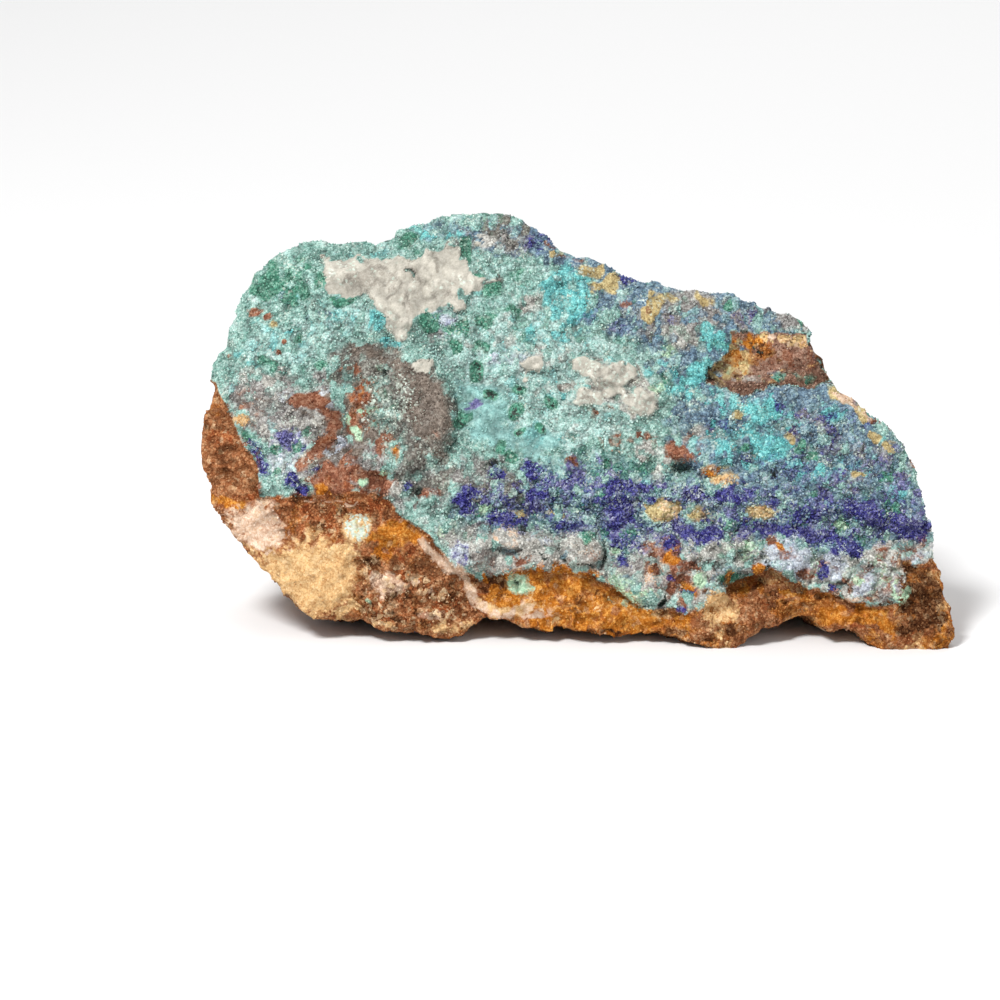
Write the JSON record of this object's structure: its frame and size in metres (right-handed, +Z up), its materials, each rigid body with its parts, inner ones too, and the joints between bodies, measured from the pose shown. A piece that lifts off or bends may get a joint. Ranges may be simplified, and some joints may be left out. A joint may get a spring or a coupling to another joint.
{
  "type": "azurite and malachite specimen",
  "caption": "Rough mineral hand specimen: an azurite, malachite and calcite crust on brown limonite, resting on a broken base.",
  "frame": {"origin": "middle of the base of the bounding box", "axes": "+X along the specimen to the right, +Y from the crusted face to the back, +Z up"},
  "size_m": [0.1, 0.0418, 0.0534],
  "materials": {
    "crusted_stone": "matte"
  },
  "bodies": {
    "root": {"azurite_malachite_rock": "crusted_stone"}
  },
  "joints": []
}
